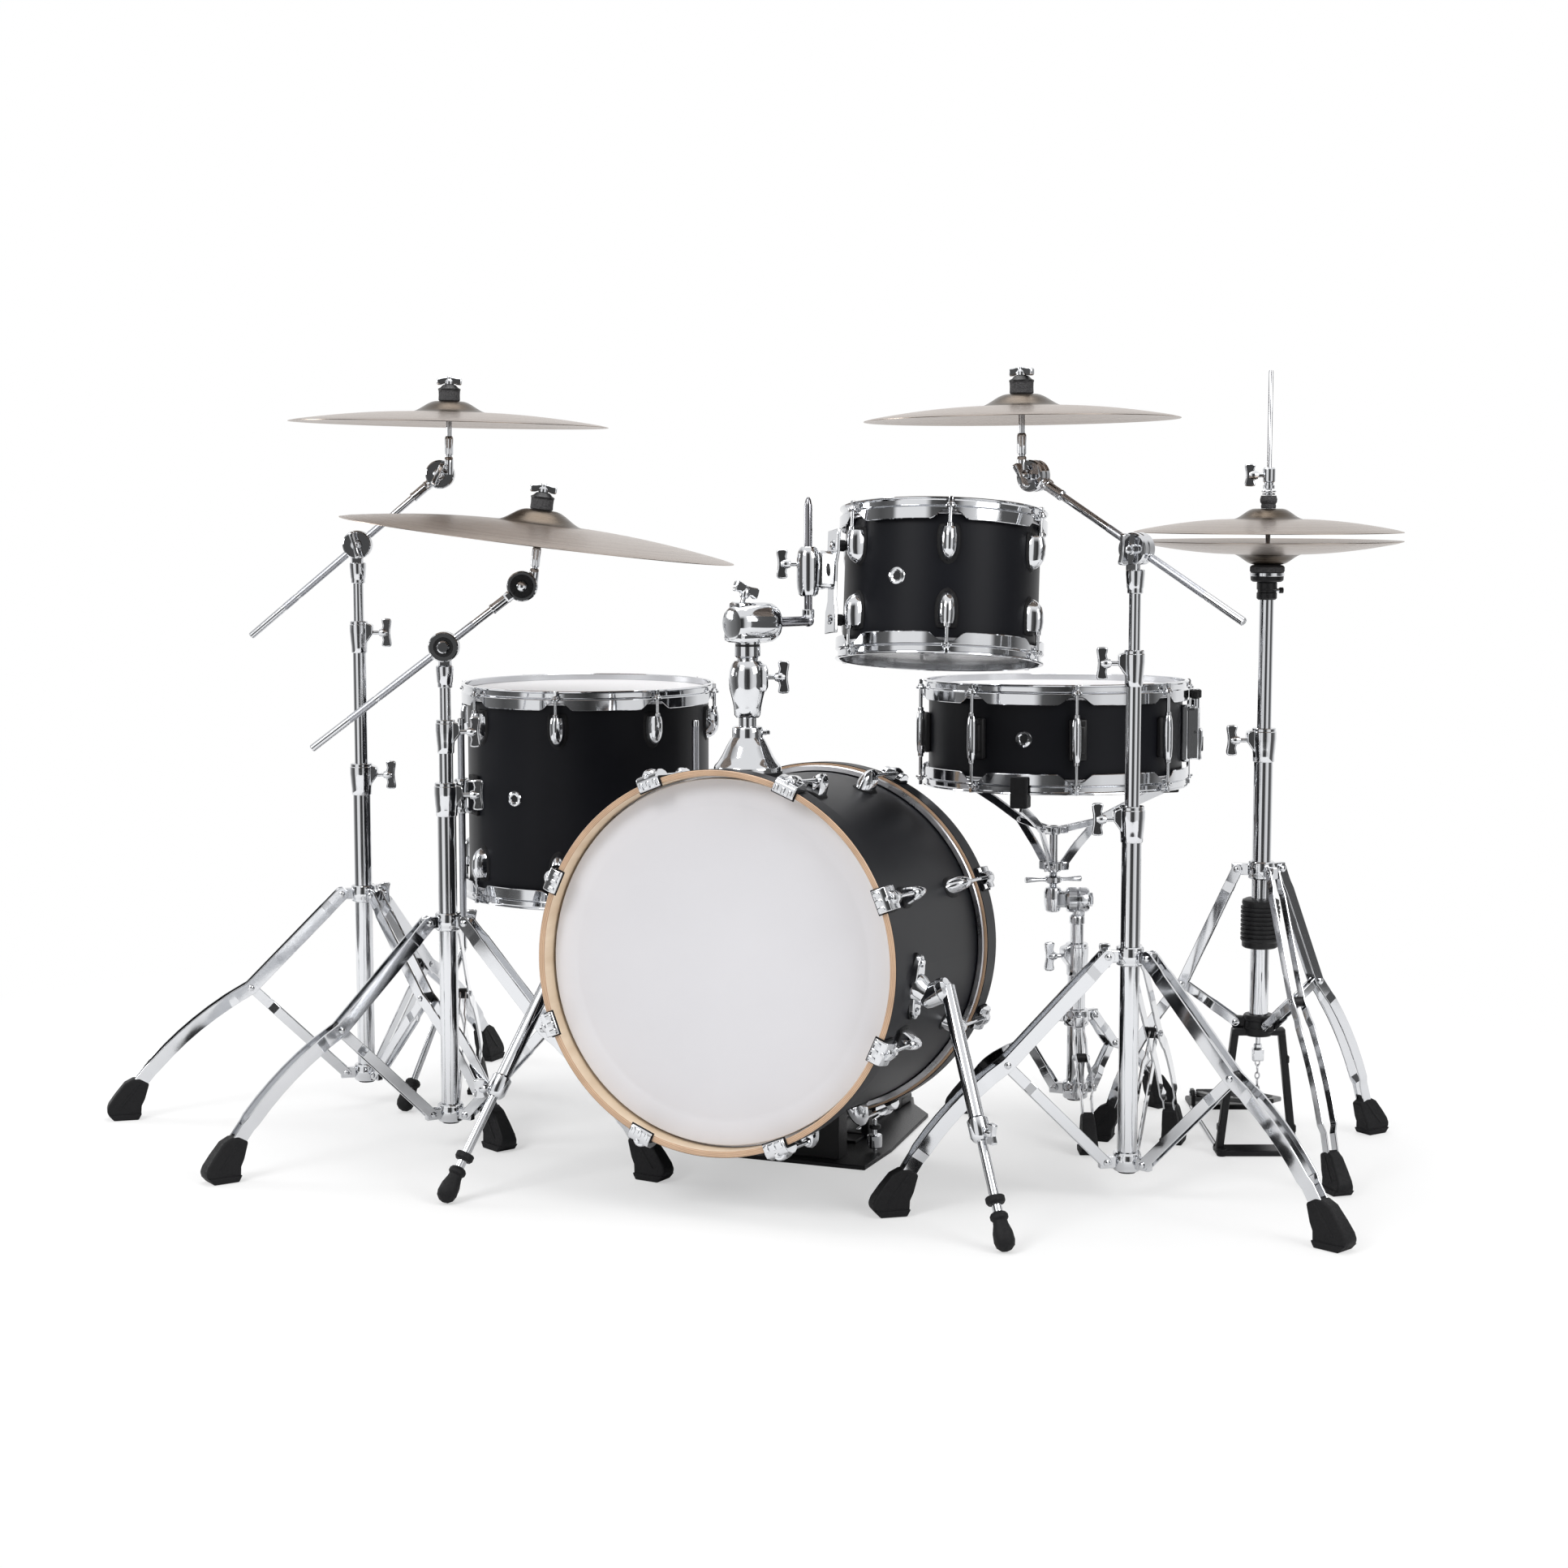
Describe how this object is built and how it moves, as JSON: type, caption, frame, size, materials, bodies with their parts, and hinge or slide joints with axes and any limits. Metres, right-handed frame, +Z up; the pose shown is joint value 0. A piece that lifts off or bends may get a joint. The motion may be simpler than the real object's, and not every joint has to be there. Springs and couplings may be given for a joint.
{
  "type": "drum kit",
  "caption": "Acoustic drum kit with black shells, bass drum, rack and floor toms, snare, hi-hat, boom-mounted cymbals and pedals.",
  "frame": {"origin": "bottom centre of the whole kit's bounding box, on the floor", "axes": "+X to the right as seen by the audience, +Y away from the audience towards the drummer, +Z up"},
  "size_m": [1.8468, 1.1648, 1.0676],
  "materials": {
    "chrome": "polished chrome plate",
    "cymbal_bronze": "lathed bronze",
    "drum_head": "coated film",
    "shell_black": "satin black lacquer",
    "hoop_wood": "black outside, bare plies inside",
    "rubber_black": "matt",
    "metal_black": "satin black"
  },
  "bodies": {
    "kit_root": {"left_stand_base": "chrome", "ride_stand_base": "chrome", "right_stand_base": "chrome", "hihat_base": "chrome", "hihat_pedal_frame": "metal_black", "bass_pedal_frame": "metal_black", "stand_rubber_feet": "rubber_black", "snare_stand_base": "chrome", "tom_mount_base": "chrome", "floor_tom_shell": "shell_black", "floor_tom_hoops": "chrome", "floor_tom_heads": "drum_head", "floor_tom_lugs": "chrome", "bass_drum_shell": "shell_black", "bass_drum_hoops": "hoop_wood", "bass_drum_heads": "drum_head", "bass_drum_lugs": "chrome"},
    "left_middle_tube": {"left_stand_middle_tube": "chrome"},
    "left_top_tube": {"left_stand_top_tube": "chrome"},
    "left_boom": {"left_boom_arm": "chrome"},
    "left_post": {"left_cymbal_post": "chrome"},
    "left_cymbal_body": {"left_crash_cymbal": "cymbal_bronze"},
    "ride_middle_tube": {"ride_stand_middle_tube": "chrome"},
    "ride_top_tube": {"ride_stand_top_tube": "chrome"},
    "ride_boom": {"ride_boom_arm": "chrome"},
    "ride_post": {"ride_cymbal_post": "chrome"},
    "ride_cymbal_body": {"ride_cymbal": "cymbal_bronze"},
    "right_middle_tube": {"right_stand_middle_tube": "chrome"},
    "right_top_tube": {"right_stand_top_tube": "chrome"},
    "right_boom": {"right_boom_arm": "chrome"},
    "right_post": {"right_cymbal_post": "chrome"},
    "right_cymbal_body": {"right_crash_cymbal": "cymbal_bronze"},
    "hihat_upper": {"hihat_upper_tube": "chrome", "hihat_bottom_cymbal": "cymbal_bronze"},
    "hihat_board": {"hihat_footboard": "metal_black"},
    "hihat_rod": {"hihat_pull_rod": "chrome"},
    "hihat_top": {"hihat_clutch": "chrome", "hihat_top_cymbal": "cymbal_bronze"},
    "bass_board": {"bass_pedal_footboard": "metal_black"},
    "bass_beater": {"bass_pedal_beater": "chrome"},
    "snare_tube": {"snare_stand_upper_tube": "chrome"},
    "snare_basket": {"snare_stand_basket": "chrome", "snare_shell": "shell_black", "snare_hoops": "chrome", "snare_heads": "drum_head", "snare_lugs": "chrome", "snare_wires": "chrome"},
    "snare_lever": {"snare_throw_lever": "chrome"},
    "tom_post": {"tom_holder_post": "chrome"},
    "tom_arm": {"tom_holder_arm": "chrome"},
    "rack_tom": {"tom_bracket": "chrome", "rack_tom_shell": "shell_black", "rack_tom_hoops": "chrome", "rack_tom_heads": "drum_head", "rack_tom_lugs": "chrome"},
    "floor_leg_left": {"floor_tom_leg_left": "chrome"},
    "floor_leg_right": {"floor_tom_leg_right": "chrome"},
    "floor_leg_back": {"floor_tom_leg_back": "chrome"},
    "spur_left": {"bass_spur_left": "chrome"},
    "spur_right": {"bass_spur_right": "chrome"}
  },
  "joints": [
    {"name": "left_middle_slide", "type": "slide", "parent": "kit_root", "child": "left_middle_tube", "axis": [0, 0, 1], "range_m": [-0.03, 0.06]},
    {"name": "left_top_slide", "type": "slide", "parent": "left_middle_tube", "child": "left_top_tube", "axis": [0, 0, 1], "range_m": [-0.03, 0.06]},
    {"name": "left_boom_tilt", "type": "hinge", "parent": "left_top_tube", "child": "left_boom", "pos_m": [-0.55701, 0.20348, 0.824], "axis": [0, -1, 0], "range_deg": [-5, 10]},
    {"name": "left_post_tilt", "type": "hinge", "parent": "left_boom", "child": "left_post", "pos_m": [-0.43674, 0.20948, 0.92492], "axis": [0, -1, 0], "range_deg": [-10, 10]},
    {"name": "left_cymbal_spin", "type": "hinge", "parent": "left_post", "child": "left_cymbal_body", "pos_m": [-0.42159, 0.20248, 1.02762], "axis": [0.0209, 0, 0.9998], "continuous": true},
    {"name": "ride_middle_slide", "type": "slide", "parent": "kit_root", "child": "ride_middle_tube", "axis": [0, 0, 1], "range_m": [-0.03, 0.03]},
    {"name": "ride_top_slide", "type": "slide", "parent": "ride_middle_tube", "child": "ride_top_tube", "axis": [0, 0, 1], "range_m": [-0.03, 0.02]},
    {"name": "ride_boom_tilt", "type": "hinge", "parent": "ride_top_tube", "child": "ride_boom", "pos_m": [-0.40101, -0.05352, 0.692], "axis": [0, -1, 0], "range_deg": [-5, 5]},
    {"name": "ride_post_tilt", "type": "hinge", "parent": "ride_boom", "child": "ride_post", "pos_m": [-0.29376, -0.05952, 0.774], "axis": [0, -1, 0], "range_deg": [-10, 10]},
    {"name": "ride_cymbal_spin", "type": "hinge", "parent": "ride_post", "child": "ride_cymbal_body", "pos_m": [-0.26813, -0.05252, 0.8746], "axis": [0.1236, 0, 0.9923], "continuous": true},
    {"name": "right_middle_slide", "type": "slide", "parent": "kit_root", "child": "right_middle_tube", "axis": [0, 0, 1], "range_m": [0, 0.06]},
    {"name": "right_top_slide", "type": "slide", "parent": "right_middle_tube", "child": "right_top_tube", "axis": [0, 0, 1], "range_m": [0, 0.06]},
    {"name": "right_boom_tilt", "type": "hinge", "parent": "right_top_tube", "child": "right_boom", "pos_m": [0.49799, -0.32452, 0.83], "axis": [0.6561, 0.7547, 0], "range_deg": [0, 10]},
    {"name": "right_post_tilt", "type": "hinge", "parent": "right_boom", "child": "right_post", "pos_m": [0.37951, -0.21358, 0.92102], "axis": [0.6561, 0.7547, 0], "range_deg": [-10, 10]},
    {"name": "right_cymbal_spin", "type": "hinge", "parent": "right_post", "child": "right_cymbal_body", "pos_m": [0.36389, -0.20927, 1.02381], "axis": [-0.0119, 0.0103, 0.9999], "continuous": true},
    {"name": "hihat_height_slide", "type": "slide", "parent": "kit_root", "child": "hihat_upper", "axis": [0, 0, 1], "range_m": [-0.04, 0.05]},
    {"name": "hihat_board_hinge", "type": "hinge", "parent": "kit_root", "child": "hihat_board", "pos_m": [0.70499, 0.17248, 0.024], "axis": [1, 0, 0], "range_deg": [0, 2.2]},
    {"name": "hihat_rod_slide", "type": "slide", "parent": "kit_root", "child": "hihat_rod", "axis": [0, 0, -1], "range_m": [0, 0.0102], "stiffness_N_per_m": 1500, "springref_m": -0.05},
    {"name": "hihat_clutch_slide", "type": "slide", "parent": "hihat_rod", "child": "hihat_top", "axis": [0, 0, 1], "range_m": [-0.04, 0.05]},
    {"name": "bass_board_hinge", "type": "hinge", "parent": "kit_root", "child": "bass_board", "pos_m": [0.19775, 0.15921, 0.026], "axis": [0.9272, -0.3746, 0], "range_deg": [0, 4.5]},
    {"name": "bass_beater_hinge", "type": "hinge", "parent": "kit_root", "child": "bass_beater", "pos_m": [0.13182, -0.00398, 0.15], "axis": [0.9272, -0.3746, 0], "range_deg": [0, 38], "stiffness_Nm_per_rad": 2, "springref_deg": -28.65},
    {"name": "snare_height_slide", "type": "slide", "parent": "kit_root", "child": "snare_tube", "axis": [0, 0, 1], "range_m": [-0.027, 0.01]},
    {"name": "snare_basket_tilt", "type": "hinge", "parent": "snare_tube", "child": "snare_basket", "pos_m": [0.47599, 0.08548, 0.324], "axis": [1, 0, 0], "range_deg": [-3, 3]},
    {"name": "snare_lever_hinge", "type": "hinge", "parent": "snare_basket", "child": "snare_lever", "pos_m": [0.63469, 0.05065, 0.5671], "axis": [-0.2079, -0.9778, 0.0256], "range_deg": [0, 70]},
    {"name": "tom_post_slide", "type": "slide", "parent": "kit_root", "child": "tom_post", "axis": [0, 0, 1], "range_m": [-0.009, 0]},
    {"name": "tom_ball_tilt", "type": "hinge", "parent": "tom_post", "child": "tom_arm", "pos_m": [0.01297, -0.29815, 0.736], "axis": [0.7957, 0.6057, 0], "range_deg": [-4, 4]},
    {"name": "rack_tom_swivel", "type": "hinge", "parent": "tom_arm", "child": "rack_tom", "pos_m": [0.08999, -0.23952, 0.8], "axis": [0, 0, 1], "range_deg": [-8, 8]},
    {"name": "floor_leg_left_slide", "type": "slide", "parent": "kit_root", "child": "floor_leg_left", "axis": [0, 0, 1], "range_m": [0, 0.05]},
    {"name": "floor_leg_right_slide", "type": "slide", "parent": "kit_root", "child": "floor_leg_right", "axis": [0, 0, 1], "range_m": [0, 0.05]},
    {"name": "floor_leg_back_slide", "type": "slide", "parent": "kit_root", "child": "floor_leg_back", "axis": [0, 0, 1], "range_m": [0, 0.05]},
    {"name": "spur_left_hinge", "type": "hinge", "parent": "kit_root", "child": "spur_left", "pos_m": [-0.22934, -0.20232, 0.28366], "axis": [-0.8923, 0.3605, 0.2717], "range_deg": [0, 50]},
    {"name": "spur_right_hinge", "type": "hinge", "parent": "kit_root", "child": "spur_right", "pos_m": [0.25384, -0.39753, 0.28366], "axis": [-0.8404, 0.3396, -0.4224], "range_deg": [0, 50]}
  ],
  "couplings": [
    {"joint": "hihat_rod_slide", "follows": "hihat_board_hinge", "m_per_rad": 0.262},
    {"joint": "hihat_clutch_slide", "follows": "hihat_height_slide", "ratio": 1},
    {"joint": "bass_beater_hinge", "follows": "bass_board_hinge", "ratio": 8.4}
  ]
}
